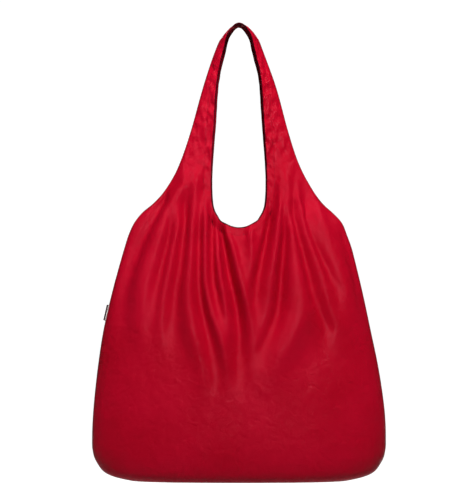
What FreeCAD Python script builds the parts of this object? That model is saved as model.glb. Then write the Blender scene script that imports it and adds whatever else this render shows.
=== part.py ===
"""Foldable tote bag with one shoulder strap loop, as an assembly of its sewn pieces, in millimetres.

The bag hangs by its crown, the top of the strap loop. X runs across the bag, Y from front to back and Z
upwards, and the origin is the underside of the crown seam, where a hook or a hand carries the bag.
Every cloth piece is a slice of one envelope, a loft that is drawn in step by step for each layer.
"""
import FreeCAD, Part
import math
import os

from FreeCAD import Placement, Rotation, Vector

# Overall sizes, cloth, seams and the small pieces, in millimetres unless the name says otherwise.
SIZES = {
    "body_height": 394.0,       # base to the corner where the strap starts
    "strap_height": 326.0,      # that corner to the top of the crown
    "body_width": 460.0,
    "body_depth": 110.0,
    "base_squareness": 2.6,     # exponent of the base's outline, which is 2 at the strap corner
    "cloth": 0.8,               # wall of a cloth panel
    "layer_gap": 0.2,           # clearance between a panel and a hem or seam inside it
    "hem_thick": 0.8,
    "hem_width": 12.0,
    "seam_thick": 1.0,
    "seam_width": 7.0,
    "loop_width": 85.0,         # mouth and strap loop, side to side
    "loop_rise": 3.0,           # lowest point of the mouth above the strap corner
    "lip_height": 5.7,          # how far the crown's edges turn down
    "fold_rise": 76.0,          # fold line of the strap above the strap corner
    "fold_zone": 90.0,          # height of the cloth that bends when the strap folds
    "crown_hem_reach": 13.0,    # half the width that the crown hems leave bare
    "crown_seam_width": 10.0,
    "crown_seam_length": 24.0,
    "corner_seam_width": 5.0,
    "corner_seam_inset": 34.0,  # corner seams in from the widest point of the bag
    "label_height": 26.0,
    "label_reach": 7.0,
    "label_ribbon": 0.4,
    "label_fold": 0.5,          # gap inside the folded ribbon
    "label_root": 1.5,          # stub of the ribbon that the seam holds
    "label_gap": 0.5,
    "label_centre": 262.0,      # middle of the label above the base
    "pouch_width": 55.0,
    "pouch_height": 77.0,
    "pouch_depth": 15.0,
    "pouch_cloth": 0.5,
    "pouch_drop": 16.0,         # hinge of the tether to the pouch mouth
    "pouch_hem_height": 9.0,
    "pouch_elastic_height": 5.0,
    "pouch_elastic_thick": 0.6,
    "pouch_band_height": 7.0,
    "pouch_band_thick": 0.3,
    "pouch_band_rise": 36.0,    # lower edge of the band above the pouch base
    "pouch_gap": 0.25,          # clearance between a pouch panel and what is sewn to it
    "tether_width": 6.0,
    "tether_thick": 0.6,
    "tether_lap": 12.0,         # length of the tether sewn to the pouch
    "tether_eye": 1.0,          # outer radius of the tether's rolled end
    "tether_gap": 0.4,          # clearance either side of the tab that the tether hangs from
    "tether_root_height": 8.0,
}

# Sections of the body: share of body_height above the base, of half the width, of half the depth.
BODY_SECTIONS = {
    "base": (0.0, 0.810, 0.69),
    "heel": (0.016, 0.888, 0.84),
    "turn": (0.046, 0.940, 0.93),
    "hip": (0.102, 0.985, 0.98),
    "belly": (0.178, 1.000, 1.00),
    "waist": (0.360, 0.974, 0.98),
    "ribs": (0.520, 0.935, 0.91),
    "chest": (0.680, 0.878, 0.80),
    "neck": (0.840, 0.811, 0.65),
    "collar": (0.939, 0.767, 0.54),
    "corner": (1.0, 0.730, 0.47),
}

# Sections of the strap: share of strap_height above the corner, then as for the body.
STRAP_SECTIONS = {
    "slope": (0.0475, 0.691, 0.40),
    "yoke": (0.095, 0.622, 0.335),
    "root": (0.144, 0.550, 0.27),
    "stem": (0.239, 0.459, 0.21),
    "shin": (0.3865, 0.365, 0.20),
    "mid": (0.580, 0.283, 0.255),
    "high": (0.773, 0.204, 0.355),
    "bend": (0.917, 0.130, 0.445),
    "brow": (0.969, 0.067, 0.482),
    "crown": (1.0, 0.013, 0.473),
}

# Sections of the pouch: share of its height above its base, of half the width, of half the depth.
POUCH_SECTIONS = {
    "pouch_base": (0.0, 0.86, 0.48),
    "pouch_heel": (0.03, 0.95, 0.68),
    "pouch_turn": (0.10, 0.99, 0.86),
    "pouch_belly": (0.35, 1.0, 1.0),
    "pouch_chest": (0.70, 1.0, 1.0),
    "pouch_mouth": (1.0, 0.97, 0.95),
}

# Sections that each loft is drawn through.
ENVELOPE_STEPS = 30
POUCH_STEPS = 12

# Outline of the strap loop: share of the way from the mouth to the crown lips, and of half its width.
LOOP_OUTLINE = {
    "swell": (0.135, 1.0),
    "taper": (0.735, 0.73),
    "arch": (0.866, 0.52),
    "spring": (0.958, 0.35),
}


def make_sheet(doc):
    """Spreadsheet of the driving dimensions, one alias to a cell."""
    sheet = doc.addObject("Spreadsheet::Sheet", "Sizes")
    rows = dict(SIZES)
    for sections in (BODY_SECTIONS, STRAP_SECTIONS, POUCH_SECTIONS):
        for name, (rise, wide, deep) in sections.items():
            rows.update({name + "_rise": rise, name + "_wide": wide, name + "_deep": deep})
    for name, (rise, wide) in LOOP_OUTLINE.items():
        rows.update({name + "_rise": rise, name + "_wide": wide})
    for number, (alias, value) in enumerate(rows.items(), start=1):
        sheet.set("A%d" % number, alias)
        sheet.set("B%d" % number, repr(value))
        sheet.setAlias("B%d" % number, alias)
    doc.recompute()
    return sheet


def smooth(sections, count):
    """Sections at even steps along the smooth line through the given ones, each (height, wide, deep)."""
    line = Part.BSplineCurve()
    line.interpolate([Vector(wide, deep, height) for height, wide, deep in sections])
    return [(p.z, p.x, p.y) for p in line.toShape().discretize(Number=count)]


class Cloth:
    """Reads the sheet and knows the envelope's heights and half sizes."""

    def __init__(self, doc, sheet):
        self.doc = doc
        self.sheet = sheet
        self.full_height = self["body_height"] + self["strap_height"]
        self.crown_drop = self["cloth"] + self["seam_thick"] + self["hem_thick"] + 2 * self["layer_gap"]
        self.zero = self.full_height - self.crown_drop
        stations = [self.station(n, 0.0, self["body_height"]) for n in BODY_SECTIONS]
        above = self["body_height"], self["strap_height"]
        stations += [self.station(n, *above) for n in STRAP_SECTIONS]
        self.sections = smooth(stations, ENVELOPE_STEPS)

    def __getitem__(self, alias):
        return float(self.sheet.get(alias))

    def station(self, name, start, span):
        """Height, half width and half depth of one section."""
        wide = self[name + "_wide"] * self["body_width"] / 2
        deep = self[name + "_deep"] * self["body_depth"] / 2
        return start + self[name + "_rise"] * span, wide, deep

    def z(self, height):
        """Height above the base, in the part's own frame."""
        return height - self.zero

    def half_width(self, height):
        """Half width of the envelope at a height, between the two nearest sections."""
        for (h0, w0, _), (h1, w1, _) in zip(self.sections, self.sections[1:]):
            if h0 <= height <= h1:
                return w0 + (w1 - w0) * (height - h0) / (h1 - h0)
        raise ValueError("height %.1f is off the bag" % height)


def oval_wire(half_width, half_depth, z, squareness=2.0, points=24):
    """Closed smooth section, started on the +X side and evenly spaced, so that lofts stay true."""
    ring = []
    for i in range(points):
        a = 2 * math.pi * i / points
        across = math.copysign(abs(math.cos(a)) ** (2 / squareness), math.cos(a))
        along = math.copysign(abs(math.sin(a)) ** (2 / squareness), math.sin(a))
        ring.append(Vector(half_width * across, half_depth * along, z))
    curve = Part.BSplineCurve()
    curve.interpolate(Points=ring, PeriodicFlag=True, Parameters=[float(i) for i in range(points + 1)])
    return Part.Wire([curve.toShape()])


def feature(doc, name, shape):
    """A Part::Feature that holds a shape."""
    obj = doc.addObject("Part::Feature", name)
    obj.Shape = shape
    return obj


def envelope(cloth, inset):
    """The bag's closed outer form, drawn in by inset."""
    squeeze = 1 - 2 * inset / cloth.full_height
    wires = []
    for height, wide, deep in cloth.sections:
        level = cloth.z(inset + height * squeeze)
        boxy = max(0.0, 1 - height / cloth["body_height"]) * (cloth["base_squareness"] - 2)
        wires.append(oval_wire(max(wide - inset, 1.0), deep - inset, level, 2 + boxy))
    return Part.makeLoft(wires, True, False)


def layer(cloth, name, outer, inner):
    """Thin shell between two insets of the envelope."""
    big = feature(cloth.doc, name + "_outer", envelope(cloth, outer))
    small = feature(cloth.doc, name + "_inner", envelope(cloth, inner))
    return without(cloth, name, big, small)


def loop_points(cloth, spread):
    """Heights and half widths up one side of the loop, grown outwards by spread."""
    low = cloth["body_height"] + cloth["loop_rise"]
    high = cloth.full_height - cloth["lip_height"]
    half = cloth["loop_width"] / 2
    side = []
    for name in LOOP_OUTLINE:
        rise = low + cloth[name + "_rise"] * (high - low)
        side.append((half * cloth[name + "_wide"] + spread, cloth.z(rise)))
    return (0.0, cloth.z(low) - spread), side, (0.0, cloth.z(high) + spread)


def loop_prism(cloth, name, spread):
    """Block through the bag, front to back, in the outline of its mouth and strap loop."""
    bottom, side, top = loop_points(cloth, spread)
    reach = cloth["body_depth"]

    def at(point, sign=1):
        return Vector(sign * point[0], -reach, point[1])

    swell, taper, arch, spring = side
    edges = [
        Part.Arc(at(swell, -1), at(bottom), at(swell)).toShape(),
        Part.LineSegment(at(swell), at(taper)).toShape(),
        Part.Arc(at(taper), at(arch), at(spring)).toShape(),
        Part.Arc(at(spring), at(top), at(spring, -1)).toShape(),
        Part.Arc(at(spring, -1), at(arch, -1), at(taper, -1)).toShape(),
        Part.LineSegment(at(taper, -1), at(swell, -1)).toShape(),
    ]
    face = feature(cloth.doc, name + "_outline", Part.Face(Part.Wire(edges)))
    prism = cloth.doc.addObject("Part::Extrusion", name)
    prism.Base = face
    prism.DirMode = "Custom"
    prism.Dir = Vector(0, 1, 0)
    prism.setExpression("LengthFwd", "2 * Sizes.body_depth")
    prism.Solid = True
    return prism


# Heights in the part's own frame, as expressions on the sheet.
ZERO = (
    "(Sizes.body_height + Sizes.strap_height - Sizes.cloth - Sizes.seam_thick"
    " - Sizes.hem_thick - 2 * Sizes.layer_gap)"
)
BELOW = "(-2 * Sizes.body_height - Sizes.strap_height)"
ABOVE = "(Sizes.strap_height)"
BASE = "(-%s)" % ZERO
FOLD_LOW = "(Sizes.body_height + Sizes.fold_rise - Sizes.fold_zone / 2 - %s)" % ZERO
FOLD_HIGH = "(Sizes.body_height + Sizes.fold_rise + Sizes.fold_zone / 2 - %s)" % ZERO
CROWN_START = "(Sizes.body_height + Sizes.high_rise * Sizes.strap_height - %s)" % ZERO
WIDE = "(Sizes.body_width)"
DEEP = "(Sizes.body_depth)"
SEAM_SIDE = "(Sizes.seam_width / 2)"
HEM_SIDE = "(Sizes.seam_width / 2 + 2 * Sizes.layer_gap)"


def slab(cloth, name, x, y, z):
    """Box between pairs of expressions along each axis."""
    box = cloth.doc.addObject("Part::Box", name)
    for side, corner, (low, high) in zip(("Length", "Width", "Height"), "xyz", (x, y, z)):
        box.setExpression(side, "(%s) - (%s)" % (high, low))
        box.setExpression("Placement.Base." + corner, low)
    return box


def common(cloth, name, base, tool):
    """The part of base inside tool."""
    both = cloth.doc.addObject("Part::Common", name)
    both.Base, both.Tool = base, tool
    return both


def without(cloth, name, base, tool):
    """Base with tool cut away."""
    cut = cloth.doc.addObject("Part::Cut", name)
    cut.Base, cut.Tool = base, tool
    return cut


def group(cloth, name, members):
    """Several separate solids kept in one node."""
    bunch = cloth.doc.addObject("Part::Compound", name)
    bunch.Links = members
    return bunch


ALL_X = ("-" + WIDE, WIDE)
FRONT_Y = ("-" + DEEP, "0")
BACK_Y = ("0", DEEP)
SIDES = (("front", FRONT_Y, ("-" + DEEP, "-" + HEM_SIDE)), ("back", BACK_Y, (HEM_SIDE, DEEP)))
BODY_Z = (BELOW, FOLD_LOW)
FOLD_Z = (FOLD_LOW, FOLD_HIGH)
STRAP_Z = (FOLD_HIGH, ABOVE)


def panels_and_hems(cloth):
    """Front and back cloth from base to crown, with the folded hem round the mouth and strap loop."""
    hem_in = cloth["cloth"] + cloth["layer_gap"]
    loop = loop_prism(cloth, "LoopCut", 0.0)
    skin = without(cloth, "Skin", layer(cloth, "SkinLayer", 0.0, cloth["cloth"]), loop)
    hem_layer = layer(cloth, "HemLayer", hem_in, hem_in + cloth["hem_thick"])
    hem_loop = loop_prism(cloth, "HemLoopCut", 0.0)
    hem_skin = without(cloth, "HemSkin", hem_layer, hem_loop)
    rim = common(cloth, "HemRim", hem_skin, loop_prism(cloth, "HemReach", cloth["hem_width"]))
    nodes = []
    for side, half, hem_half in SIDES:
        body = slab(cloth, "BodyHalf_" + side, ALL_X, half, BODY_Z)
        nodes.append(common(cloth, side + "_panel", skin, body))
        strap = slab(cloth, "StrapHalf_" + side, ALL_X, half, STRAP_Z)
        nodes.append(common(cloth, "strap_" + side, skin, strap))
        mouth = slab(cloth, "MouthHemHalf_" + side, ALL_X, hem_half, BODY_Z)
        nodes.append(common(cloth, "mouth_hem_" + side, rim, mouth))
        bend = slab(cloth, "FoldHalf_" + side, ALL_X, half, FOLD_Z)
        bend_hem = slab(cloth, "FoldHemHalf_" + side, ALL_X, hem_half, FOLD_Z)
        folded = common(cloth, "FoldCloth_" + side, skin, bend)
        folded_hem = common(cloth, "FoldHem_" + side, rim, bend_hem)
        nodes.append(group(cloth, "shoulder_" + side, [folded, folded_hem]))
        nodes.append(strap_hem(cloth, side, rim, hem_skin, hem_half))
    return nodes


def strap_hem(cloth, side, rim, hem_skin, hem_half):
    """Hem along both edges of the strap, and over the crown, where it is cut by depth instead."""
    legs = slab(cloth, "StrapHemLegs_" + side, ALL_X, hem_half, (FOLD_HIGH, CROWN_START))
    reach = "Sizes.crown_hem_reach"
    over = ("-" + DEEP, "-" + reach) if side == "front" else (reach, DEEP)
    arch = slab(cloth, "StrapHemArch_" + side, ALL_X, over, (CROWN_START, ABOVE))
    hem = cloth.doc.addObject("Part::Fuse", "strap_hem_" + side)
    hem.Base = common(cloth, "HemLegs_" + side, rim, legs)
    hem.Tool = common(cloth, "HemArch_" + side, hem_skin, arch)
    return hem


def seams(cloth):
    """Seam allowances inside the bag: sides, base, boxed corners, strap edge and crown."""
    start = cloth["cloth"] + cloth["layer_gap"]
    end = start + cloth["seam_thick"]
    seam_layer = layer(cloth, "SeamLayer", start, end)
    thin = ("-" + SEAM_SIDE, SEAM_SIDE)
    flat_half = "(Sizes.base_wide * Sizes.body_width / 2 - Sizes.seam_width)"
    base_z = (BELOW, BASE + " + Sizes.seam_width")
    base_box = slab(cloth, "BaseSeamBox", ("-" + flat_half, flat_half), thin, base_z)
    nodes = [common(cloth, "base_seam", seam_layer, base_box)]
    room = flat_half + " + Sizes.layer_gap"
    clear = slab(cloth, "BaseSeamRoom", ("-(%s)" % room, room), ("-" + DEEP, DEEP), base_z)
    for side, span in (("left", ("-" + WIDE, "0")), ("right", ("0", WIDE))):
        box = slab(cloth, "SideSeamBox_" + side, span, thin, BODY_Z)
        strip = common(cloth, "SideStrip_" + side, seam_layer, box)
        nodes.append(without(cloth, "side_seam_" + side, strip, clear))
    bend = slab(cloth, "FoldSeamBox", ALL_X, thin, FOLD_Z)
    nodes.append(common(cloth, "shoulder_seams", seam_layer, bend))
    strap = slab(cloth, "StrapSeamBox", ALL_X, thin, STRAP_Z)
    nodes.append(common(cloth, "strap_seam", seam_layer, strap))
    nodes += cross_seams(cloth, end + cloth["layer_gap"])
    return nodes


def cross_seams(cloth, start):
    """The seams that run front to back, on top of the long ones: crown and boxed corners."""
    top_layer = layer(cloth, "CrossSeamLayer", start, start + cloth["hem_thick"])
    half = "(Sizes.crown_seam_width / 2)"
    span = "(Sizes.crown_seam_length / 2)"
    crown_box = slab(
        cloth, "CrownSeamBox", ("-" + half, half), ("-" + span, span), ("-3 * Sizes.crown_seam_width", ABOVE)
    )
    nodes = [common(cloth, "crown_seam", top_layer, crown_box)]
    inner = "(Sizes.body_width / 2 - Sizes.corner_seam_inset - 2 * Sizes.seam_width)"
    outer = inner + " + Sizes.corner_seam_width"
    low = (BELOW, BASE + " + Sizes.seam_width")
    for side, reach in (("left", ("-(%s)" % outer, "-" + inner)), ("right", (inner, outer))):
        box = slab(cloth, "CornerSeamBox_" + side, reach, ("-" + DEEP, DEEP), low)
        nodes.append(common(cloth, "corner_seam_" + side, top_layer, box))
    return nodes


def origin_plane(body, role):
    """The named origin plane of a body."""
    return next(f for f in body.Origin.OriginFeatures if f.Role == role)


def pad_of(cloth, name, edges, length):
    """A body with one sketch of joined edges on its XY plane, padded along Z by an expression."""
    body = cloth.doc.addObject("PartDesign::Body", name)
    sketch = body.newObject("Sketcher::SketchObject", name + "_sketch")
    sketch.AttachmentSupport = [(origin_plane(body, "XY_Plane"), "")]
    sketch.MapMode = "FlatFace"
    sketch.addGeometry(edges, False)
    pad = body.newObject("PartDesign::Pad", name + "_pad")
    pad.Profile = sketch
    pad.setExpression("Length", length)
    pad.Midplane = True
    return body


def seam_frame(cloth, height, drop):
    """Turn about Y that lays a piece along the left side of the bag, from a height down to drop below."""
    lean = math.atan2(cloth.half_width(height - drop) - cloth.half_width(height), drop)
    return Rotation(Vector(0, 1, 0), math.degrees(lean))


def label(cloth):
    """Folded ribbon label in the left side seam, and the stub of it that the seam holds."""
    centre = cloth["label_centre"]
    turn = seam_frame(cloth, centre + cloth["label_height"] / 2, cloth["label_height"])
    hinge = Vector(-cloth.half_width(centre), 0, cloth.z(centre))
    inner = cloth["label_fold"] / 2
    outer = inner + cloth["label_ribbon"]
    near = -(cloth["label_gap"] + cloth["label_root"] + cloth["label_gap"])
    far = near - cloth["label_reach"] + outer

    def fold(radius):
        ends = Vector(far, -radius, 0), Vector(far - radius, 0, 0), Vector(far, radius, 0)
        return Part.Arc(*ends)

    def line(x0, y0, x1, y1):
        return Part.LineSegment(Vector(x0, y0, 0), Vector(x1, y1, 0))

    edges = [
        line(near, -outer, far, -outer),
        fold(outer),
        line(far, outer, near, outer),
        line(near, outer, near, inner),
        line(near, inner, far, inner),
        fold(inner),
        line(far, -inner, near, -inner),
        line(near, -inner, near, -outer),
    ]
    ribbon = pad_of(cloth, "side_label", edges, "Sizes.label_height")
    ribbon.Placement = Placement(hinge, turn)
    root = cloth.doc.addObject("Part::Box", "label_root")
    root.setExpression("Length", "Sizes.label_root")
    root.setExpression("Width", "Sizes.label_fold + 2 * Sizes.label_ribbon")
    root.setExpression("Height", "Sizes.label_height")
    corner = Vector(-cloth["label_gap"] - cloth["label_root"], -outer, -cloth["label_height"] / 2)
    root.Placement = Placement(hinge + turn.multVec(corner), turn)
    return [ribbon, root]


def pouch_form(cloth, inset, over=0.0):
    """Closed form of the stow pouch in its own frame, hinge of its tether at the origin, and top
    standing over the mouth.
    """
    half = cloth["pouch_width"] / 2
    deep = cloth["pouch_depth"] / 2
    middle = cloth["tether_thick"] / 2 + cloth["pouch_gap"] + half
    base = -cloth["pouch_drop"] - cloth["pouch_height"] + inset
    tall = cloth["pouch_height"] - inset + over
    stations = []
    for name in POUCH_SECTIONS:
        wide = half * cloth[name + "_wide"] - inset
        stations.append((base + cloth[name + "_rise"] * tall, wide, deep * cloth[name + "_deep"] - inset))
    wires = [oval_wire(wide, thick, level) for level, wide, thick in smooth(stations, POUCH_STEPS)]
    for wire in wires:
        wire.translate(Vector(middle, 0, 0))
    return Part.makeLoft(wires, True, False)


def pouch_layer(cloth, name, outer, thick):
    """Shell of the pouch from an inset inwards, open at the mouth."""
    big = feature(cloth.doc, name + "_outer", pouch_form(cloth, outer))
    small = feature(cloth.doc, name + "_inner", pouch_form(cloth, outer + thick, cloth["tether_eye"]))
    return without(cloth, name, big, small)


def pouch(cloth):
    """Stow pouch with its casing, elastic, band and seam, and the tether it hangs on."""
    gap = cloth["pouch_gap"]
    wall = cloth["pouch_cloth"]
    shell = pouch_layer(cloth, "PouchShell", 0.0, wall)
    lining = pouch_layer(cloth, "PouchLining", wall + gap, cloth["pouch_elastic_thick"])
    casing = wall + cloth["pouch_elastic_thick"] + 2 * gap
    hem = pouch_layer(cloth, "PouchHemLayer", casing, wall)
    band = pouch_layer(cloth, "PouchBandLayer", -gap - cloth["pouch_band_thick"], cloth["pouch_band_thick"])

    across = ("-Sizes.tether_width", "2 * Sizes.pouch_width")
    front = ("-Sizes.pouch_depth", "0")
    back = ("0", "Sizes.pouch_depth")
    both = ("-Sizes.pouch_depth", "Sizes.pouch_depth")
    thin = ("-Sizes.tether_width / 4", "Sizes.tether_width / 4")
    mouth = "-Sizes.pouch_drop"
    base = "(-Sizes.pouch_drop - Sizes.pouch_height)"
    hem_low = "(-Sizes.pouch_drop - Sizes.pouch_hem_height)"
    spare = "(Sizes.pouch_hem_height - Sizes.pouch_elastic_height) / 2"
    band_low = base + " + Sizes.pouch_band_rise"
    clear_of_tether = ("-Sizes.pouch_depth", "-Sizes.tether_width / 4")
    cuts = (
        ("pouch_front", shell, front, ("2 * " + base, mouth)),
        ("pouch_back", shell, back, ("2 * " + base, mouth)),
        ("pouch_hem", hem, both, (hem_low, mouth)),
        ("pouch_elastic", lining, both, ("%s + %s" % (hem_low, spare), "%s - %s" % (mouth, spare))),
        ("pouch_seam", lining, thin, ("2 * " + base, hem_low)),
        ("pouch_band", band, clear_of_tether, (band_low, band_low + " + Sizes.pouch_band_height")),
    )
    nodes = []
    for name, source, depth, height in cuts:
        nodes.append(common(cloth, name, source, slab(cloth, name + "_box", across, depth, height)))
    nodes.append(tether(cloth))
    return hang_on_side(cloth, nodes)


def tether(cloth):
    """Tape from the side seam to the pouch, with its top end rolled into an eye."""
    half = cloth["tether_thick"] / 2
    eye = cloth["tether_eye"]
    reach = cloth["tether_width"] / 2
    ring = cloth.doc.addObject("Part::Cylinder", "TetherEye")
    ring.setExpression("Radius", "Sizes.tether_eye")
    ring.setExpression("Height", "Sizes.tether_width")
    bore = cloth.doc.addObject("Part::Cylinder", "TetherBore")
    bore.setExpression("Radius", "Sizes.tether_eye - Sizes.tether_thick")
    bore.setExpression("Height", "Sizes.tether_width")
    for part in (ring, bore):
        part.Placement = Placement(Vector(0, reach, 0), Rotation(Vector(1, 0, 0), 90))
    tape = cloth.doc.addObject("Part::Box", "TetherTape")
    tape.setExpression("Length", "Sizes.tether_thick")
    tape.setExpression("Width", "Sizes.tether_width")
    tape.setExpression("Height", "Sizes.pouch_drop + Sizes.tether_lap - Sizes.tether_eye / 2")
    tape.Placement.Base = Vector(-half, -reach, -cloth["pouch_drop"] - cloth["tether_lap"])
    whole = cloth.doc.addObject("Part::Fuse", "TetherWhole")
    whole.Base, whole.Tool = ring, tape
    return without(cloth, "pouch_tether", whole, bore)


def hang_on_side(cloth, pieces):
    """Place the pouch pieces against the left side seam, and add the sewn tab they hang beside."""
    height = cloth["label_centre"]
    seam = cloth["cloth"] + cloth["layer_gap"] + cloth["seam_thick"]
    turn = seam_frame(cloth, height, cloth["pouch_drop"] + cloth["pouch_height"])
    wall = Vector(-cloth.half_width(height) + seam, 0, cloth.z(height))
    standoff = 2 * cloth["tether_gap"] + cloth["tether_thick"] + cloth["tether_eye"]
    frame = Placement(wall + turn.multVec(Vector(standoff, 0, 0)), turn)
    for piece in pieces:
        piece.Placement = frame
    tab = cloth.doc.addObject("Part::Box", "tether_root")
    tab.setExpression("Length", "Sizes.tether_thick")
    tab.setExpression("Width", "Sizes.tether_width")
    tab.setExpression("Height", "Sizes.tether_root_height")
    corner = Vector(cloth["tether_gap"], -cloth["tether_width"] / 2, -cloth["tether_root_height"] / 2)
    tab.Placement = Placement(wall + turn.multVec(corner), turn)
    return pieces + [tab]


def main():
    """Build the bag, stop if any piece is faulty, and write one STEP file for each piece."""
    doc = FreeCAD.newDocument("FoldableToteBag")
    cloth = Cloth(doc, make_sheet(doc))
    nodes = panels_and_hems(cloth) + seams(cloth) + label(cloth) + pouch(cloth)
    doc.recompute()
    faulty = [o.Name for o in doc.Objects if "Invalid" in o.State or "Error" in o.State]
    faulty += [n.Label for n in nodes if n.Shape.isNull() or not n.Shape.isValid() or not n.Shape.Solids]
    if faulty:
        raise RuntimeError("faulty objects: " + ", ".join(sorted(set(faulty))))
    os.makedirs("parts", exist_ok=True)
    for node in nodes:
        node.Shape.exportStep(os.path.join("parts", node.Label + ".step"))
    print("%d pieces written" % len(nodes))


main()
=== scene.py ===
"""Foldable shoulder tote of thin glossy cloth, hung by the crown of its strap, built round its frame."""
import math

import bmesh
import bpy
import numpy as np
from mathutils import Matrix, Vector, noise
from mathutils.kdtree import KDTree


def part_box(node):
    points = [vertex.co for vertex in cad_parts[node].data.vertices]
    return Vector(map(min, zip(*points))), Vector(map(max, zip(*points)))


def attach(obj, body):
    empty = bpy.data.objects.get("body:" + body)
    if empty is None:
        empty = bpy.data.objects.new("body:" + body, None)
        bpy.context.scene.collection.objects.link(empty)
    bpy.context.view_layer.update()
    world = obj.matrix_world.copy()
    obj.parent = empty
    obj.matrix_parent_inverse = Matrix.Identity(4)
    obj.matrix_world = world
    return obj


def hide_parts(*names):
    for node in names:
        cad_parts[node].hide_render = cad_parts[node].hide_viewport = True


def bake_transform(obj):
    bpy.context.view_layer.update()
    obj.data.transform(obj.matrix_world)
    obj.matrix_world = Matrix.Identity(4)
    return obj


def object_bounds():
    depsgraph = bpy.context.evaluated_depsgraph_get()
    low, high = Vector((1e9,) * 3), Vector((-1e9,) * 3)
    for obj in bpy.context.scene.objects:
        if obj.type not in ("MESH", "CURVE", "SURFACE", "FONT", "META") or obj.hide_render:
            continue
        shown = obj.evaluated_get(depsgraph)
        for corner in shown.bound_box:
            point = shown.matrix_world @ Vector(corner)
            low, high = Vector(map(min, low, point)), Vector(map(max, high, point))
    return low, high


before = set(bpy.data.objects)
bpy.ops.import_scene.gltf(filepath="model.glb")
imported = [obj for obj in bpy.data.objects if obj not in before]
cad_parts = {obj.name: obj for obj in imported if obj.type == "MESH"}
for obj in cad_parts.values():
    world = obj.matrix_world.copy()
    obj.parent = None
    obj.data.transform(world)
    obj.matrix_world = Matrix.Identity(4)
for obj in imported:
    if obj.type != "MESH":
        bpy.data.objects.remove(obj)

bl_info = {
    "name": "Foldable Tote",
    "version": (1, 0, 0),
    "blender": (4, 5, 0),
    "location": "View3D > Sidebar > Tote",
    "description": "Builds a hanging shoulder tote with folds, hems, seams, a side label and a stow pouch",
    "category": "Add Mesh",
}

CAD_BOX = [list(corner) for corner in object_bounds()]
MM = 0.001
BASE_Z = CAD_BOX[0][2]
TOP_Z = CAD_BOX[1][2]

# Outer edge of the bag: (half width, height above the base) in millimetres, corners of the base first.
BASE_EDGE = ((172, 0), (188, 3.4), (203, 8), (214, 14.5), (222, 25), (229, 40), (231, 64), (229, 110))
LEFT_EDGE = BASE_EDGE + (
    (222.5, 173), (213, 236), (198.5, 299), (181, 362), (171, 392), (157.5, 415), (139, 431), (123, 447),
    (104, 475), (90, 506), (75, 551), (57.5, 614), (42.5, 661), (33.5, 684), (27.5, 696), (17, 708),
    (8, 715.5), (0, 718),
)
RIGHT_EDGE = BASE_EDGE + (
    (220, 173), (207, 236), (193.5, 299), (178, 362), (171, 382), (165, 398), (158, 410), (142, 425),
    (126, 441), (106, 473), (91.5, 504), (76.5, 551), (59.5, 614), (43, 661), (34.2, 684), (29, 696),
    (19.5, 708), (9, 716), (0, 718),
)
# Edge of the mouth and strap loop, from the mouth's corner to the crown, the same way.
MOUTH_CORNER = (30, 409.5)
BACK_LOOP = (
    MOUTH_CORNER, (38.5, 425), (41.5, 441), (42.5, 470), (41, 504), (36.5, 562), (31.5, 630),
    (21.5, 674), (16.5, 696), (9.5, 708.5), (4, 714.5), (0, 716),
)
FRONT_LOOP = (
    MOUTH_CORNER, (39, 425), (42.5, 441), (43.5, 470), (42.5, 504), (39, 562), (34, 630),
    (24.5, 674), (19, 697), (11.5, 709.5), (5, 715.3), (0, 716.5),
)
# How far the mouth's edge dips between its corners and the base sags, how much higher folds stand than in
# their tables, how far the hem's stitching lies from its edge, and where the body ends.
MOUTH_DIP = 12.5
SAG = 3.0
FOLD_GAIN = 2.3
HEM_LINE = 12.0
BODY_TOP = 394
# Half depth of the bag: (height, half depth).
DEPTH = (
    (0, 38), (6, 46), (18, 51), (40, 54), (70, 55), (142, 54), (205, 50), (268, 44), (331, 35.5),
    (370, 29.5), (394, 26), (425, 18.5), (441, 15), (472, 11.5), (520, 11), (583, 14), (646, 19),
    (693, 23), (721, 25),
)
# The label's hinge line: x and height of its middle, and its direction up the leaning side seam.
LABEL_HINGE = (-203.27, 262.0)
LABEL_AXIS = (0.2251, 0.9743)
# Half its length.
LABEL_HALF = 12.6
# The stow pouch: hinge of its tape, lean of the seam it hangs by, and its own sizes in millimetres.
POUCH_HINGE = (-198.9, 261.56)
POUCH_LEAN = math.radians(10.6)
POUCH_HALF, POUCH_DEPTH, POUCH_TALL = 27.5, 7.5, 77.0
POUCH_MIDDLE, POUCH_BASE = 28.1, -93.0
POUCH_WIDE = ((0.0, 0.03, 0.10, 0.35, 0.70, 1.0), (0.86, 0.95, 0.985, 1.0, 0.995, 0.965))
POUCH_DEEP = ((0.0, 0.03, 0.10, 0.35, 0.70, 1.0), (0.10, 0.52, 0.84, 1.0, 1.0, 0.94))
# Heights over the pouch's base of the collar, elastic and print, and the points in one turn round it.
COLLAR_RISE, ELASTIC_RISE, PRINT_RISE = (76.6, 66.5), (74.5, 69.6), (36.2, 42.8)
POUCH_AROUND = 132
POUCH_TURNS = [2 * math.pi * k / POUCH_AROUND for k in range(POUCH_AROUND)]

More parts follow.
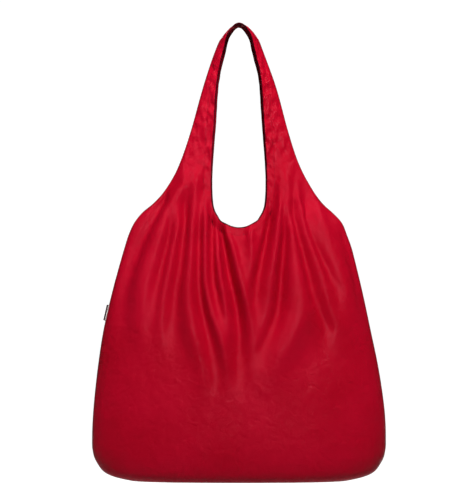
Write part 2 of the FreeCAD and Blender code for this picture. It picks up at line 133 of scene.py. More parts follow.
# Folds of the front cloth: ((x, height) from top to bottom), width and rise in millimetres, minus a dip.
FRONT_FOLDS = (
    (((-83, 467), (-108, 424), (-133, 360), (-150, 303), (-153, 233)), 13, 4.6),
    (((-94, 400), (-104, 350), (-114, 298), (-122, 242)), 5.5, 3.0),
    (((-66, 470), (-72, 402), (-77, 342), (-80, 297), (-73, 244), (-52, 170)), 9, 4.4),
    (((-52, 420), (-53, 342), (-51, 304), (-42, 266), (-32, 235), (-18, 175)), 5, 4.4),
    (((-34, 357), (-28, 312), (-22, 274), (-18, 240)), 4.5, 3.8),
    (((-21, 392), (-8.5, 357), (3.5, 304), (14, 266), (19, 236)), 6, 4.2),
    (((18, 390), (18, 345), (14, 300)), 6, 3.6),
    (((63, 430), (55.5, 364), (50, 327), (45, 290)), 4.5, 4.0),
    (((72, 470), (84, 357), (91, 312), (94, 266), (80, 225), (54, 175)), 14, 5.6),
    (((92, 440), (104, 402), (119, 349), (137, 289), (152, 245)), 6.5, 3.4),
    (((122, 420), (140, 374), (165, 303), (173, 233)), 12, 3.2),
    (((-118, 440), (-153, 374), (-173, 315), (-181, 247)), 8, -3.0),
    (((-108, 392), (-129, 303), (-136, 247)), 5, -2.6),
    (((-84, 410), (-90, 342), (-97, 300), (-102, 233)), 7, -4.0),
    (((-63, 385), (-63, 312), (-58, 266), (-45, 215), (-36, 165)), 6, -4.6),
    (((-42, 412), (-42, 327), (-37, 296), (-31, 259)), 4, -4.6),
    (((-28, 400), (-17, 333), (-8, 296), (-1, 251), (2, 180)), 6, -6.8),
    (((48, 408), (41, 372), (35, 345), (28, 312), (26, 275)), 4.5, -5.4),
    (((72, 385), (70, 357), (67, 327), (64, 289), (57, 255), (38, 205)), 5.5, -6.0),
    (((84, 415), (103, 342), (118, 282), (136, 240)), 5, -4.0),
    (((104, 410), (115, 378), (134, 338), (152, 300)), 4, -2.6),
    (((168, 380), (182, 346), (196, 261)), 8, -2.0),
)
# Folds of the back cloth, which hangs a little smoother.
BACK_FOLDS = (
    (((-118, 450), (-130, 380), (-150, 260), (-160, 140)), 16, 4.0),
    (((-100, 462), (-106, 390), (-126, 290), (-132, 180)), 10, -3.2),
    (((-80, 480), (-86, 400), (-96, 300), (-104, 180)), 10, 3.8),
    (((-62, 490), (-62, 410), (-66, 320), (-62, 190)), 9, -3.8),
    (((-50, 450), (-47, 390), (-44, 310), (-34, 200)), 9, 4.0),
    (((-30, 398), (-27, 360), (-20, 300), (-12, 210)), 8, -4.6),
    (((-8, 380), (-4, 340), (2, 280), (4, 180)), 10, 3.4),
    (((28, 395), (24, 360), (18, 300), (14, 220)), 8, -4.4),
    (((50, 450), (46, 395), (40, 320), (28, 210)), 9, 4.4),
    (((66, 480), (68, 400), (70, 310), (64, 180)), 10, -3.6),
    (((82, 480), (90, 400), (104, 300), (112, 170)), 11, 3.8),
    (((102, 462), (112, 390), (130, 290), (140, 180)), 9, -3.0),
    (((120, 450), (134, 385), (156, 280), (168, 160)), 14, 3.6),
    (((-90, 240), (-50, 190), (0, 165), (50, 160)), 28, -1.8),
)


# ---------------------------------------------------------------- shape of the cloth


def smooth_line(points, count):
    """Even points along the smooth line through the given ones."""
    pts = np.array(points, dtype=float)
    ends = np.vstack([2 * pts[0] - pts[1], pts, 2 * pts[-1] - pts[-2]])
    dense = []
    for p0, p1, p2, p3 in zip(ends, ends[1:], ends[2:], ends[3:]):
        for u in np.linspace(0, 1, 24, endpoint=False):
            dense.append(0.5 * (
                2 * p1 + (p2 - p0) * u + (2 * p0 - 5 * p1 + 4 * p2 - p3) * u**2
                + (3 * p1 - p0 - 3 * p2 + p3) * u**3))
    dense.append(pts[-1])
    dense = np.array(dense)
    run = np.concatenate([[0], np.cumsum(np.linalg.norm(np.diff(dense, axis=0), axis=1))])
    at = np.linspace(0, run[-1], count)
    return np.column_stack([np.interp(at, run, dense[:, k]) for k in range(pts.shape[1])])


def ease(value, low, high):
    """0 below low and 1 above high, with a smooth step between."""
    u = np.clip((value - low) / (high - low), 0, 1)
    return u * u * (3 - 2 * u)


class Panel:
    """One face of the bag, front or back: where its cloth lies, for a place given on the flat."""

    def __init__(self, front):
        self.front = front
        self.sign = -1 if front else 1
        self.loop = FRONT_LOOP if front else BACK_LOOP
        self.folds = FRONT_FOLDS if front else BACK_FOLDS
        self.edges = {-1: smooth_line(LEFT_EDGE, 400), 1: smooth_line(RIGHT_EDGE, 400)}
        self.depth = smooth_line(DEPTH, 300)
        side = smooth_line(self.loop, 160)
        mouth_x = np.linspace(-MOUTH_CORNER[0], MOUTH_CORNER[0], 24)[1:-1]
        mouth = np.column_stack([mouth_x, self.mouth_height(mouth_x)])
        self.rim = np.vstack([side[::-1] * (-1, 1), mouth, side])

    def mouth_height(self, x):
        """Height of the mouth's edge between its two corners."""
        return MOUTH_CORNER[1] - MOUTH_DIP * (1 - (x / MOUTH_CORNER[0]) ** 2)

    def half_width(self, height, side):
        line = self.edges[side]
        return np.interp(height, line[:, 1], line[:, 0])

    def rim_distance(self, x, height):
        """Distance on the flat to the edge of the mouth and loop."""
        gap = np.full(len(x), 1e9)
        for rx, rh in self.rim:
            gap = np.minimum(gap, np.hypot(x - rx, height - rh))
        return gap

    def relief(self, x, height, across):
        """How far the cloth stands out from its plain form: drape folds, hem puckers and crinkles."""
        out = np.zeros(len(x))
        for line, width, rise in self.folds:
            path = smooth_line(line, 40)
            xs = np.interp(height, path[::-1, 1], path[::-1, 0])
            if abs(line[0][0] - line[-1][0]) > abs(line[0][1] - line[-1][1]):
                order = np.argsort(path[:, 0])
                off = (height - np.interp(x, path[order, 0], path[order, 1])) / width
                low, high = path[:, 0].min(), path[:, 0].max()
                fade = ease(x, low - 60, low + 40) * (1 - ease(x, high - 40, high + 60))
            else:
                top, bottom = line[0][1], line[-1][1]
                spread = 1 + 1.1 * np.clip((top - height) / (top - bottom), 0, 1.3)
                off = (x - xs) / (width * spread)
                fade = ease(height, bottom - 60, bottom + 90) * (1 - ease(height, top - 12, top + 45))
            out += rise * fade * np.exp(-off**2)
        rim = self.rim_distance(x, height)
        out *= FOLD_GAIN * (0.3 + 0.7 * ease(rim, 1, 14))
        stitch = np.exp(-(((rim - HEM_LINE) / 2.2) ** 2))
        ripple = np.sin(x * 0.55 + 2.2 * np.sin(height * 0.13)) * np.sin(height * 0.31 + 0.7)
        out += -0.55 * stitch + 0.55 * ripple * np.exp(-(((rim - 9) / 8) ** 2))
        grain = np.array([self.crinkle(a, b) for a, b in zip(x, height)])
        strap = ease(height, 430, 560) * (1 - ease(height, 690, 715))
        out += grain * (0.5 + 1.2 * strap)
        pucker = np.array([noise.noise(Vector((a * 0.13, b * 0.085, 21.5))) for a, b in zip(x, height)])
        centre = np.exp(-(((x - 8) / 12) ** 2)) * ease(height, 310, 350) * (1 - ease(height, 400, 410))
        out += pucker * (1.3 * np.exp(-((rim / 16) ** 2)) + 1.7 * strap + 1.0 * centre)
        return out * ease(across, 0.0, 0.10)

    def crinkle(self, x, height):
        """Small creases that run mostly along the cloth's length."""
        shift = 40 if self.front else 90
        coarse = noise.noise(Vector((x * 0.055 + shift, height * 0.022, 3.1)))
        fine = noise.noise(Vector((x * 0.16, height * 0.075 + shift, 8.7)))
        ridge = 1 - abs(noise.noise(Vector((x * 0.09 + height * 0.02, height * 0.05, shift)))) * 2
        return 0.7 * coarse + 0.35 * fine + 0.45 * (ridge - 0.6)

    def rows(self, side, body_rows, strap_rows):
        """Inner and outer ends of each row of cloth on one side."""
        inner, outer = [], []
        for height in np.linspace(0, MOUTH_CORNER[1], body_rows):
            inner.append((MOUTH_CORNER[0], height))
            outer.append((float(self.half_width(height, side)), height))
        line = self.edges[side]
        upper = [tuple(p) for p in line if p[1] > MOUTH_CORNER[1] + 1]
        upper.insert(0, (float(self.half_width(MOUTH_CORNER[1], side)), MOUTH_CORNER[1]))
        seam = smooth_line(upper[::6] + [upper[-1]], strap_rows)
        edge = smooth_line(self.loop, strap_rows)
        return np.vstack([inner, edge[1:]]), np.vstack([outer, seam[1:]])


def squareness(height):
    """Power of the bag's rounded section: 2, an ellipse, from the shoulder up, and more towards the base."""
    return 2 + 0.6 * max(0.0, 1 - height / BODY_TOP)


def place(panel, height, reach, power):
    """Y of the cloth at a height, where reach is x as a share of the half width there."""
    deep = np.interp(height, panel.depth[:, 0], panel.depth[:, 1])
    return panel.sign * deep * np.maximum(1 - np.abs(reach) ** power, 0) ** (1 / power)


def base_height(x):
    """Height of the sagging base along its middle line."""
    middle, end = MOUTH_CORNER[0], LEFT_EDGE[0][0]
    return -SAG * (1 - min(max(abs(x) - middle, 0) / (end - middle), 1))


def cloth_grid(panel):
    """Points (x, y, height), flat places and faces of one panel with its half of the strap."""
    columns, middle, body_rows, strap_rows, base_rows = 60, 22, 150, 120, 9
    points, flat, across, faces = [], [], [], []

    def add(x, y, height, u, v, a):
        points.append((x, y, height))
        flat.append((u, v))
        across.append(a)
        return len(points) - 1

    share = (4 * np.linspace(0, 1, columns) - np.linspace(0, 1, columns) ** 4) / 3
    blocks = []
    for side in (-1, 1):
        inner, outer = panel.rows(side, body_rows, strap_rows)
        block = []
        for j, ((xi, hi), (xo, ho)) in enumerate(zip(inner, outer)):
            crown = float(ease(j, body_rows + 0.80 * strap_rows, body_rows + strap_rows - 2))
            start = xi / max(xo, 0.5) * (1 - crown)
            power = squareness(hi)
            row = []
            for f in share:
                x, height = xi + (xo - xi) * f, hi + (ho - hi) * f
                reach = start + (1 - start) * f
                y = float(place(panel, height, reach, power))
                row.append(add(side * x, y, height, side * x, height, 1 - f))
            block.append(row)
        blocks.append(block)
    left, right = blocks
    centre = []
    for j in range(body_rows):
        height = MOUTH_CORNER[1] * j / (body_rows - 1)
        row = [left[j][0]]
        for x in np.linspace(-MOUTH_CORNER[0], MOUTH_CORNER[0], middle)[1:-1]:
            drop = (panel.mouth_height(x) - MOUTH_CORNER[1]) * (height / MOUTH_CORNER[1]) ** 4
            reach = abs(x) / float(panel.half_width(height, 1))
            y = float(place(panel, height + drop, reach, squareness(height)))
            row.append(add(x, y, height + drop, x, height + drop, 1.0))
        centre.append(row + [right[j][0]])
    for block, flip in ((left, True), (right, False), (centre, False)):
        for low, high in zip(block, block[1:]):
            for a, b, c, d in zip(low, low[1:], high[1:], high):
                faces.append((a, d, c, b) if flip else (a, b, c, d))
    ring = left[0][::-1] + centre[0][1:-1] + right[0]
    previous = ring
    for k in range(1, base_rows + 1):
        t = 1 - k / base_rows
        row = []
        for i in ring:
            x, y, height = points[i]
            u, v = flat[i]
            row.append(add(x, y * t, height - SAG * (1 - t * t) * across[i], u, v - 38 * (1 - t), across[i]))
        for a, b, c, d in zip(previous, previous[1:], row[1:], row):
            faces.append((a, d, c, b))
        previous = row
    return np.array(points), np.array(flat), np.array(across), faces


def object_from(name, points, faces, uv=None):
    """Mesh object in metres from points in millimetres, with height measured from the base."""
    mesh = bpy.data.meshes.new(name)
    coords = [(x * MM, y * MM, BASE_Z + height * MM) for x, y, height in points]
    mesh.from_pydata(coords, [], [list(face) for face in faces])
    if uv is not None:
        layer = mesh.uv_layers.new(name="flat")
        for loop in mesh.loops:
            layer.data[loop.index].uv = uv[loop.vertex_index] * MM
    obj = bpy.data.objects.new(name, mesh)
    bpy.context.scene.collection.objects.link(obj)
    mesh.validate()
    for poly in mesh.polygons:
        poly.use_smooth = True
    return obj


def select_only(obj):
    bpy.ops.object.select_all(action="DESELECT")
    obj.select_set(True)
    bpy.context.view_layer.objects.active = obj


def tidy_mesh(obj, merge=0.0001):
    """Merge doubles and drop faces without area."""
    work = bmesh.new()
    work.from_mesh(obj.data)
    bmesh.ops.remove_doubles(work, verts=work.verts, dist=merge)
    bmesh.ops.dissolve_degenerate(work, edges=work.edges, dist=1e-6)
    work.to_mesh(obj.data)
    work.free()


def solidify(obj, thickness, offset=-1.0):
    select_only(obj)
    mod = obj.modifiers.new("wall", "SOLIDIFY")
    mod.thickness = thickness
    mod.offset = offset
    mod.use_even_offset = False
    bpy.ops.object.modifier_apply(modifier=mod.name)


def fix_normals(obj, panel=None):
    """Turn the faces outwards; those of a bag panel, an open sheet, away from the inside of the bag."""
    work = bmesh.new()
    work.from_mesh(obj.data)
    bmesh.ops.recalc_face_normals(work, faces=work.faces)
    if panel and sum(f.normal.y * f.calc_area() for f in work.faces) * panel.sign < 0:
        bmesh.ops.reverse_faces(work, faces=work.faces)
    work.to_mesh(obj.data)
    work.free()


def cross_fold(obj):
    """Bake a piece's placing into its mesh."""
    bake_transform(obj)


def make_cloth(panel, name, thickness):
    """One side's cloth with its folds, and the surface that hems and stitches are placed on."""
    points, flat, across, faces = cloth_grid(panel)
    obj = object_from(name, points, faces, flat)
    fix_normals(obj, panel)
    mesh = obj.data
    normals = np.array([v.normal[:] for v in mesh.vertices])
    relief = panel.relief(flat[:, 0], np.maximum(flat[:, 1], 0), across)
    relief *= ease(flat[:, 1], -20, 30) * (1 - 0.8 * ease(flat[:, 1], 630, 690))
    for vertex, normal, rise in zip(mesh.vertices, normals, relief):
        vertex.co += Vector(normal) * float(rise) * MM
    spots = [Vector((v.co.x / MM, v.co.y / MM, (v.co.z - BASE_Z) / MM)) for v in mesh.vertices]
    mesh.update()
    surface = Surface(spots, [v.normal.copy() for v in mesh.vertices], flat)
    tidy_mesh(obj)
    solidify(obj, thickness)
    return obj, surface


class Surface:
    """Finds places on a finished panel from places on its flat cloth."""

    def __init__(self, points, normals, flat):
        self.points = points
        self.normals = normals
        self.tree = KDTree(len(flat))
        for i, (u, v) in enumerate(flat):
            self.tree.insert((u, v, 0), i)
        self.tree.balance()

    def at(self, u, v, lift=0.0):
        """Point in millimetres on the cloth, raised by lift along its normal."""
        point, normal, total = Vector(), Vector(), 0.0
        for _, i, gap in self.tree.find_n((u, v, 0), 4):
            weight = 1 / (gap + 0.05) ** 2
            point += self.points[i] * weight
            normal += self.normals[i] * weight
            total += weight
        return point / total + normal.normalized() * lift


def rim_path(panel):
    """Flat points round the mouth and loop from crown to crown, with outward directions and room."""
    path = smooth_line(panel.rim[::3], 750)
    way = np.gradient(path, axis=0)
    way /= np.linalg.norm(way, axis=1)[:, None]
    normal = np.column_stack([way[:, 1], -way[:, 0]])
    if normal[len(path) // 2][1] > 0:
        normal = -normal
    side = np.where(path[:, 0] < 0, -1, 1)
    wide = np.array([panel.half_width(h, s) for h, s in zip(path[:, 1], side)])
    strap, free = 430, 99
    room = np.where(path[:, 1] > strap, (wide - np.abs(path[:, 0])) * 0.48, free)
    return path, normal, np.clip(room, 0.4, free)


def ring(centre, side, up, radius, count):
    """Points of a circle."""
    turns = [2 * math.pi * k / count for k in range(count)]
    return [centre + (side * math.cos(a) + up * math.sin(a)) * radius for a in turns]


def ring_faces(low, high, count):
    """Faces between two rings of points."""
    return [(low + k, low + (k + 1) % count, high + (k + 1) % count, high + k) for k in range(count)]


def end_faces(first, last, count):
    """Faces that close the two ends of a row of rings."""
    return [tuple(range(first, first + count))[::-1], tuple(range(last, last + count))]


def tube(name, path, radius, closed=False):
    """Round cord of points in millimetres."""
    points, faces, sides = [], [], 8
    count = len(path)
    for i, here in enumerate(path):
        ahead = path[(i + 1) % count] if closed else path[min(i + 1, count - 1)]
        behind = path[i - 1] if closed or i else path[0]
        way = (ahead - behind).normalized()
        side = way.cross(Vector((0, 1, 0)))
        side = side.normalized() if side.length > 0.1 else Vector((1, 0, 0))
        points += ring(here, side, side.cross(way), radius, sides)
    for i in range(count if closed else count - 1):
        faces += ring_faces(i * sides, (i + 1) % count * sides, sides)
    if not closed:
        faces += end_faces(0, (count - 1) * sides, sides)
    obj = object_from(name, points, faces)
    fix_normals(obj)
    return obj


def ribbon(name, ribs, thickness, span=12.0):
    """Band of cloth from ribs, each a list of points in millimetres, with span as its width in UV."""
    points = [p for rib in ribs for p in rib]
    width = len(ribs[0])
    faces = []
    for i in range(len(ribs) - 1):
        for k in range(width - 1):
            a = i * width + k
            faces.append((a, a + 1, a + width + 1, a + width))
    uv = np.array([(span * k / (width - 1), i) for i in range(len(ribs)) for k in range(width)])
    obj = object_from(name, points, faces, uv)
    tidy_mesh(obj, 0.00005)
    solidify(obj, thickness, offset=0.0)
    fix_normals(obj)
    return obj


def stitches(name, surface, path, normal, room, inset, length, gap, radius):
    """Row of short thread stitches on the outside of a hem."""
    points, faces, sides = [], [], 5
    run = np.concatenate([[0], np.cumsum(np.linalg.norm(np.diff(path, axis=0), axis=1))])
    for start in np.arange(4, run[-1] - 6, length + gap):
        ends = []
        for s in (start, start + length / 2, start + length):
            x, h, nx, nh, d = (float(np.interp(s, run, row)) for row in (*path.T, *normal.T, room))
            d = min(inset, d)
            ends.append(surface.at(x + nx * d, h + nh * d, 0.18))
        ends[1] += (surface.at(x, h, 1.0) - surface.at(x, h, 0.0)) * 0.12
        way = (ends[2] - ends[0]).normalized()
        side = way.orthogonal().normalized()
        first = len(points)
        for centre, size in zip(ends, (0.45, 1.0, 0.45)):
            points += ring(centre, side, side.cross(way), radius * size, sides)
        for low in (first, first + sides):
            faces += ring_faces(low, low + sides, sides)
        faces += end_faces(first, first + 2 * sides, sides)
    obj = object_from(name, points, faces)
    fix_normals(obj)
    return obj


def hang(x, y, z):
    """Point of the pouch from its own axes, which start at the hinge and lean with the side seam."""
    c, t = math.cos(POUCH_LEAN), math.sin(POUCH_LEAN)
    return Vector((POUCH_HINGE[0] + x * c + z * t, y, POUCH_HINGE[1] - x * t + z * c))


def hang_way(across, depth):
    """Step across the pouch and through its depth, on the same axes."""
    return Vector((across * math.cos(POUCH_LEAN), depth, -across * math.sin(POUCH_LEAN)))


# ---------------------------------------------------------------- finishes


def new_group(name, inputs, outputs):
    """Empty shader group with its sockets, each (name, kind, default), and its two end nodes."""
    group = bpy.data.node_groups.new(name, "ShaderNodeTree")
    for way, rows in (("INPUT", inputs), ("OUTPUT", outputs)):
        for label, kind, *default in rows:
            made = group.interface.new_socket(name=label, in_out=way, socket_type="NodeSocket" + kind)
            if default:
                made.default_value = default[0]
    return group, group.nodes.new("NodeGroupInput"), group.nodes.new("NodeGroupOutput")


def fill(made, values):
    """Set sockets of a shader node by name."""
    for name, value in values.items():
        made.inputs[name].default_value = value


def node(tree, kind, values=()):
    """New shader node with some of its sockets set."""
    made = tree.nodes.new("ShaderNode" + kind)
    fill(made, dict(values))
    return made


def link(tree, pairs):
    for source, target in pairs:
        tree.links.new(source, target)


def math_node(tree, operation, first, second=0.0):
    made = node(tree, "Math")
    made.operation = operation
    for slot, value in enumerate((first, second)):
        if isinstance(value, (int, float)):
            made.inputs[slot].default_value = value
        else:
            tree.links.new(value, made.inputs[slot])
    return made.outputs[0]


def weave_group():
    """Plain weave of fine yarn, as the height of its threads."""
    group, into, out = new_group("plain_weave", (
        ("Place", "Vector"), ("Threads per metre", "Float", 1600.0), ("Slub", "Float", 0.35),
    ), (("Height", "Float"),))
    split = node(group, "SeparateXYZ")
    group.links.new(into.outputs["Place"], split.inputs[0])
    turns = math_node(group, "MULTIPLY", into.outputs["Threads per metre"], 2 * math.pi)
    warp = math_node(group, "SINE", math_node(group, "MULTIPLY", split.outputs[0], turns))
    weft = math_node(group, "SINE", math_node(group, "MULTIPLY", split.outputs[1], turns))
    crossing = math_node(group, "MULTIPLY", warp, weft)
    slub = node(group, "TexNoise", {"Scale": 420.0, "Detail": 2.0})
    group.links.new(into.outputs["Place"], slub.inputs["Vector"])
    rough = math_node(group, "MULTIPLY", slub.outputs["Fac"], into.outputs["Slub"])
    height = math_node(group, "ADD", math_node(group, "MULTIPLY", crossing, 0.5), rough)
    group.links.new(height, out.inputs["Height"])
    return group


def tone_group():
    """Slow change of colour over the cloth, from handling and from how the dye took."""
    group, into, out = new_group("dye_tone", (
        ("Body colour", "Color"), ("Deep colour", "Color"), ("Worn colour", "Color"),
        ("Place", "Vector"), ("Patch scale", "Float", 9.0), ("Wear", "Float", 0.15),
    ), (("Colour", "Color"), ("Patches", "Float")))
    patches = node(group, "TexNoise", {"Detail": 4.0})
    specks = node(group, "TexNoise", {"Scale": 260.0, "Detail": 3.0})
    ramp = node(group, "MapRange", {"From Min": 0.35, "From Max": 0.68})
    dye, worn = node(group, "Mix"), node(group, "Mix")
    dye.data_type = worn.data_type = "RGBA"
    link(group, [
        (into.outputs["Place"], patches.inputs["Vector"]),
        (into.outputs["Patch scale"], patches.inputs["Scale"]),
        (into.outputs["Place"], specks.inputs["Vector"]),
        (patches.outputs["Fac"], ramp.inputs["Value"]),
        (ramp.outputs["Result"], dye.inputs["Factor"]),
        (into.outputs["Deep colour"], dye.inputs["A"]),
        (into.outputs["Body colour"], dye.inputs["B"]),
        (dye.outputs["Result"], worn.inputs["A"]),
        (into.outputs["Worn colour"], worn.inputs["B"]),
        (worn.outputs["Result"], out.inputs["Colour"]),
        (ramp.outputs["Result"], out.inputs["Patches"]),
    ])
    group.links.new(math_node(group, "MULTIPLY", specks.outputs["Fac"], into.outputs["Wear"]),
                    worn.inputs["Factor"])
    return group


def cloth_finish(name, body, deep, worn, rough=(0.38, 0.52), threads=1600.0, depth=0.00012,
                 uses_uv=True, crease=0.0, gloss=0.10, tint=(1.0, 1.0, 1.0)):
    """Woven cloth material of one colour family."""
    weave = bpy.data.node_groups.get("plain_weave") or weave_group()
    tone = bpy.data.node_groups.get("dye_tone") or tone_group()
    material = bpy.data.materials.new(name)
    material.use_nodes = True
    tree = material.node_tree
    shader = tree.nodes["Principled BSDF"]
    coord = node(tree, "TexCoord")
    yarn, dye = node(tree, "Group"), node(tree, "Group")
    yarn.node_tree, dye.node_tree = weave, tone
    yarn.inputs["Threads per metre"].default_value = threads
    for socket_name, colour in (("Body colour", body), ("Deep colour", deep), ("Worn colour", worn)):
        dye.inputs[socket_name].default_value = (*colour, 1)
    spread = node(tree, "MapRange", {"To Min": rough[0], "To Max": rough[1]})
    creases = node(tree, "TexNoise", {"Scale": 55.0, "Detail": 5.0, "Distortion": 1.2})
    bump = node(tree, "Bump", {"Distance": 1.0})
    fine = math_node(tree, "MULTIPLY", yarn.outputs["Height"], depth)
    broad = math_node(tree, "MULTIPLY", creases.outputs["Fac"], crease)
    link(tree, [
        (coord.outputs["UV" if uses_uv else "Object"], yarn.inputs["Place"]),
        (coord.outputs["Object"], dye.inputs["Place"]),
        (coord.outputs["Object"], creases.inputs["Vector"]),
        (dye.outputs["Colour"], shader.inputs["Base Color"]),
        (dye.outputs["Patches"], spread.inputs["Value"]),
        (spread.outputs["Result"], shader.inputs["Roughness"]),
        (math_node(tree, "ADD", fine, broad), bump.inputs["Height"]),
        (bump.outputs["Normal"], shader.inputs["Normal"]),
    ])
    fill(shader, {"Specular IOR Level": gloss, "Specular Tint": (*tint, 1)})
    return material


def label_finish(edge, face):
    """Woven ribbon with a dark border round a pale face, read from its own width and length."""
    material = cloth_finish("label_weave", face, tuple(0.9 * c for c in face), tuple(0.75 * c for c in face),
                            rough=(0.5, 0.65), threads=2200.0, gloss=0.15)
    tree = material.node_tree
    shader = tree.nodes["Principled BSDF"]
    woven = shader.inputs["Base Color"].links[0].from_socket
    coord, split, border = node(tree, "TexCoord"), node(tree, "SeparateXYZ"), node(tree, "Mix")
    border.data_type = "RGBA"
    border.inputs["B"].default_value = (*edge, 1)
    tree.links.new(coord.outputs["UV"], split.inputs[0])
    fold_line, middle, fold_half, face_half = 0.011, 0.0195, 0.0050, 0.0180
    fold = math_node(tree, "ABSOLUTE", math_node(tree, "SUBTRACT", split.outputs[0], fold_line))
    end = math_node(tree, "ABSOLUTE", math_node(tree, "SUBTRACT", split.outputs[1], middle))
    mask = math_node(tree, "MAXIMUM", math_node(tree, "LESS_THAN", fold, fold_half),
                     math_node(tree, "GREATER_THAN", end, face_half))
    link(tree, [(mask, border.inputs["Factor"]), (woven, border.inputs["A"]),
                (border.outputs["Result"], shader.inputs["Base Color"])])
    return material


def camera_only(tree, strength, unseen):
    """Glow at full strength where the camera looks straight at it, and at another one elsewhere."""
    ray, glow = node(tree, "LightPath"), node(tree, "MapRange", {"To Min": unseen, "To Max": 1.0})
    link(tree, [(ray.outputs["Is Camera Ray"], glow.inputs["Value"]), (glow.outputs["Result"], strength)])


def put_on(obj, material):
    """Give a piece its only material."""
    obj.data.materials.clear()
    obj.data.materials.append(material)


def bind(obj):
    """Give a piece the dark of edges and seams; on the cords down the side edges this dark is partly painted
    shade.
    """
    put_on(obj, built["bound"])


# ---------------------------------------------------------------- settings


def length_setting(name, description, default):
    return bpy.props.FloatProperty(name=name, description=description, default=default, unit="LENGTH")


def colour_setting(name, description, default):
    return bpy.props.FloatVectorProperty(name=name, description=description, default=default,
                                         subtype="COLOR")


class ToteSizes(bpy.types.PropertyGroup):
    """Sizes that a maker would change."""

    cloth: length_setting("Cloth", "Thickness of the bag's cloth with its coating", 0.0004)
    hem_width: length_setting("Hem width", "Width of the folded hem round mouth and strap", 0.012)
    edge_radius: length_setting("Edge radius", "Radius of the rolled edge of the hem", 0.0008)
    stitch_length: length_setting("Stitch", "Length of one stitch", 0.0024)
    label_reach: length_setting("Label reach", "How far the side label stands out from its seam", 0.0078)
    seam_width: length_setting("Seam allowance", "Width of the bound seam inside the bag", 0.0065)


class ToteColours(bpy.types.PropertyGroup):
    """Colours that a maker would change."""

    body: colour_setting("Cloth", "Colour of the bag's cloth", (0.50, 0.001, 0.018))
    deep: colour_setting("Deep cloth", "Colour where the dye took deeper", (0.42, 0.0006, 0.012))
    # This dark also colours the side-edge cords, where it is partly painted shade.
    binding: colour_setting("Binding", "Colour of rolled edges and bound seams", (0.075, 0.001, 0.006))
    label: colour_setting("Label", "Colour of the side label's face and of the pouch's print",
                          (0.74, 0.68, 0.67))
    label_edge: colour_setting("Label edge", "Colour of the side label's woven edge and fold",
                               (0.045, 0.022, 0.024))


built = {}


class ToteOperator:
    bl_options = {"REGISTER", "UNDO"}

    @property
    def sizes(self):
        return bpy.context.scene.tote_sizes

    @property
    def colours(self):
        return bpy.context.scene.tote_colours


class TOTE_OT_cloth(ToteOperator, bpy.types.Operator):
    """Front and back cloth, each from the base seam to the crown of the strap"""

    bl_idname = "tote.cloth"
    bl_label = "Front and back cloth"

    def execute(self, context):
        colours = self.colours
        red = cloth_finish("red_nylon", colours.body, colours.deep, (0.58, 0.004, 0.028),
                           rough=(0.27, 0.37), crease=0.0010, gloss=0.20, tint=(1.0, 0.28, 0.38))
        for front, name in ((True, "front_cloth"), (False, "back_cloth")):
            side = "front" if front else "back"
            panel = Panel(front)
            obj, surface = make_cloth(panel, name, self.sizes.cloth)
            built[side + "_surface"] = surface
            put_on(obj, red)
            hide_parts(side + "_panel", "shoulder_" + side, "strap_" + side)
            cross_fold(obj)
            built[side] = panel
        built["red"] = red
        return {"FINISHED"}


class TOTE_OT_edges(ToteOperator, bpy.types.Operator):
    """Folded hems, rolled edges and stitching round the mouth and the strap loop"""

    bl_idname = "tote.edges"
    bl_label = "Hems, edges and stitching"

    def execute(self, context):
        colours = self.colours
        # Dark of rolled edges and bound seams; on the cords down the side edges it is partly painted shade.
        bound = cloth_finish("bound_edge_and_shade", colours.binding, (0.045, 0.0008, 0.004), (0.13, 0.004, 0.012),
                             rough=(0.6, 0.75), threads=900.0, uses_uv=False, gloss=0.03)
        thread = cloth_finish("sewing_thread", (0.22, 0.003, 0.014), (0.16, 0.002, 0.010),
                              (0.4, 0.03, 0.05), rough=(0.42, 0.55), threads=2600.0, uses_uv=False)
        # Hems and the pouch's collar get a much darker red than the body cloth: painted shade for cloth
        # lying on the inside.
        lining = cloth_finish("shaded_hem_nylon", (0.20, 0.0006, 0.008), (0.14, 0.0004, 0.005),
                             (0.30, 0.006, 0.02), rough=(0.5, 0.62), crease=0.0008, gloss=0.04)
        built["bound"], built["lining"] = bound, lining
        for side in ("front", "back"):
            panel, surface = built[side], built[side + "_surface"]
            path, normal, room = rim_path(panel)
            edge = [surface.at(x, h, -0.1) for x, h in path]
            rolled = tube(side + "_rolled_edge", edge, self.sizes.edge_radius / MM, closed=True)
            put_on(rolled, bound)
            cross_fold(rolled)
            under = -self.sizes.cloth / MM - 0.35
            hem_width = self.sizes.hem_width / MM
            ribs = []
            for (x, h), (nx, nh), space in zip(path[::3], normal[::3], room[::3]):
                ribs.append([surface.at(x + nx * d, h + nh * d, under)
                             for d in np.linspace(0.2, min(hem_width, space), 5)])
            hem = ribbon(side + "_hem", ribs, 0.0003)
            # The hem's dark red is painted shade.
            put_on(hem, lining)
            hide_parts("mouth_hem_" + side, "strap_hem_" + side)
            cross_fold(hem)
            sewn = stitches(side + "_stitching", surface, path, normal, room, inset=hem_width,
                            length=self.sizes.stitch_length / MM, gap=0.9, radius=0.22)
            put_on(sewn, thread)
            cross_fold(sewn)
        return {"FINISHED"}


